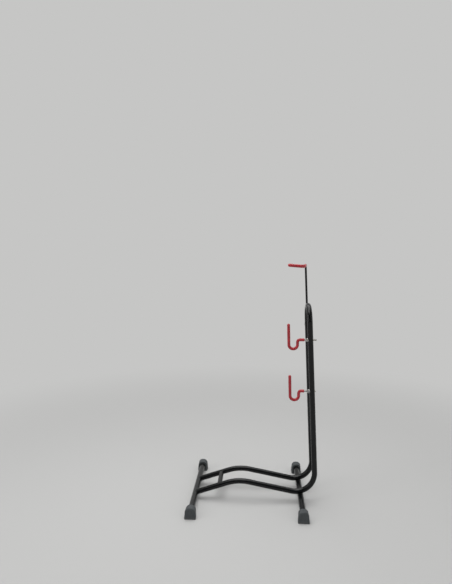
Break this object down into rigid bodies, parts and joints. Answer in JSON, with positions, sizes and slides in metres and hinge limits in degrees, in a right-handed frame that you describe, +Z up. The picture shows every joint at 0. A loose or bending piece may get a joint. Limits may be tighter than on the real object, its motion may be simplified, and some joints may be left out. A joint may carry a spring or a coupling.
{
  "type": "bicycle rear wheel stand",
  "caption": "Floor stand of bent black tube that holds a bicycle by its rear wheel, with red-sleeved J hooks for the stays and a height-adjustable rod hook.",
  "frame": {"origin": "on the floor, under the middle of the stand's box", "axes": "+X from the rails' low end to the columns, +Y from the side with the J hooks to the side with the sliding rod, +Z up"},
  "size_m": [0.4791, 0.418, 0.895],
  "materials": {
    "hoop_paint": "gloss black powder coat",
    "crossbar_paint": "gloss black powder coat",
    "rod_paint": "satin black paint",
    "boot_rubber": "matt dark grey moulded rubber",
    "red_vinyl": "dipped red vinyl, soft gloss",
    "zinc_steel": "bright zinc plate",
    "bush_plastic": "black nylon",
    "guide_plastic": "natural nylon",
    "knob_plastic": "moulded black plastic"
  },
  "bodies": {
    "frame": {"hoop_frame": "hoop_paint", "left_crossbar": "crossbar_paint", "right_crossbar": "crossbar_paint", "near_left_boot": "boot_rubber", "far_left_boot": "boot_rubber", "near_right_boot": "boot_rubber", "far_right_boot": "boot_rubber", "tyre_rest": "hoop_paint", "rod_bush": "bush_plastic", "lock_boss": "hoop_paint", "upper_hook_bush": "zinc_steel", "lower_hook_bush": "zinc_steel"},
    "rod_guide": {"rod_guide": "guide_plastic"},
    "extension": {"extension_rod": "rod_paint", "top_hook_sleeve": "red_vinyl", "rod_clip": "zinc_steel"},
    "lock_pad": {"lock_pad": "guide_plastic"},
    "lock_screw": {"lock_screw": "zinc_steel", "lock_knob": "knob_plastic"},
    "upper_saddle": {"upper_saddle_washer": "zinc_steel"},
    "upper_hook": {"upper_hook_rod": "zinc_steel", "upper_hook_sleeve": "red_vinyl"},
    "upper_flat": {"upper_flat_washer": "zinc_steel"},
    "upper_nut": {"upper_lock_nut": "zinc_steel"},
    "lower_saddle": {"lower_saddle_washer": "zinc_steel"},
    "lower_hook": {"lower_hook_rod": "zinc_steel", "lower_hook_sleeve": "red_vinyl"},
    "lower_flat": {"lower_flat_washer": "zinc_steel"},
    "lower_nut": {"lower_lock_nut": "zinc_steel"}
  },
  "joints": [
    {"name": "rod_height", "type": "slide", "parent": "frame", "child": "rod_guide", "axis": [-0.044, 0, 0.999], "range_m": [-0.12, 0.06]},
    {"name": "rod_turn", "type": "hinge", "parent": "rod_guide", "child": "extension", "pos_m": [0.20913, 0.055, 0.578], "axis": [-0.044, 0, 0.999], "continuous": true},
    {"name": "lock_advance", "type": "slide", "parent": "frame", "child": "lock_pad", "axis": [0, 1, 0], "range_m": [0, 0.003]},
    {"name": "lock_turn", "type": "hinge", "parent": "lock_pad", "child": "lock_screw", "pos_m": [0.20574, 0.075, 0.655], "axis": [0, 1, 0], "range_deg": [0, 1081]},
    {"name": "upper_hook_reach", "type": "slide", "parent": "frame", "child": "upper_saddle", "axis": [-1, 0, 0], "range_m": [0, 0.01]},
    {"name": "upper_hook_turn", "type": "hinge", "parent": "upper_saddle", "child": "upper_hook", "pos_m": [0.19141, -0.055, 0.617], "axis": [-1, 0, 0], "range_deg": [0, 3601]},
    {"name": "upper_nut_travel", "type": "slide", "parent": "upper_hook", "child": "upper_flat", "axis": [-1, 0, 0], "range_m": [0, 0.0025]},
    {"name": "upper_nut_turn", "type": "hinge", "parent": "upper_flat", "child": "upper_nut", "pos_m": [0.19141, -0.055, 0.617], "axis": [-1, 0, 0], "range_deg": [0, 901]},
    {"name": "lower_hook_reach", "type": "slide", "parent": "frame", "child": "lower_saddle", "axis": [-1, 0, 0], "range_m": [0, 0.01]},
    {"name": "lower_hook_turn", "type": "hinge", "parent": "lower_saddle", "child": "lower_hook", "pos_m": [0.19982, -0.055, 0.426], "axis": [-1, 0, 0], "range_deg": [0, 3601]},
    {"name": "lower_nut_travel", "type": "slide", "parent": "lower_hook", "child": "lower_flat", "axis": [-1, 0, 0], "range_m": [0, 0.0095]},
    {"name": "lower_nut_turn", "type": "hinge", "parent": "lower_flat", "child": "lower_nut", "pos_m": [0.19982, -0.055, 0.426], "axis": [-1, 0, 0], "range_deg": [0, 3421]}
  ],
  "couplings": [
    {"joint": "lock_turn", "follows": "lock_advance", "rad_per_m": 6283.2},
    {"joint": "upper_hook_turn", "follows": "upper_hook_reach", "rad_per_m": 6283.2},
    {"joint": "upper_nut_turn", "follows": "upper_nut_travel", "rad_per_m": 6283.2},
    {"joint": "lower_hook_turn", "follows": "lower_hook_reach", "rad_per_m": 6283.2},
    {"joint": "lower_nut_turn", "follows": "lower_nut_travel", "rad_per_m": 6283.2}
  ]
}
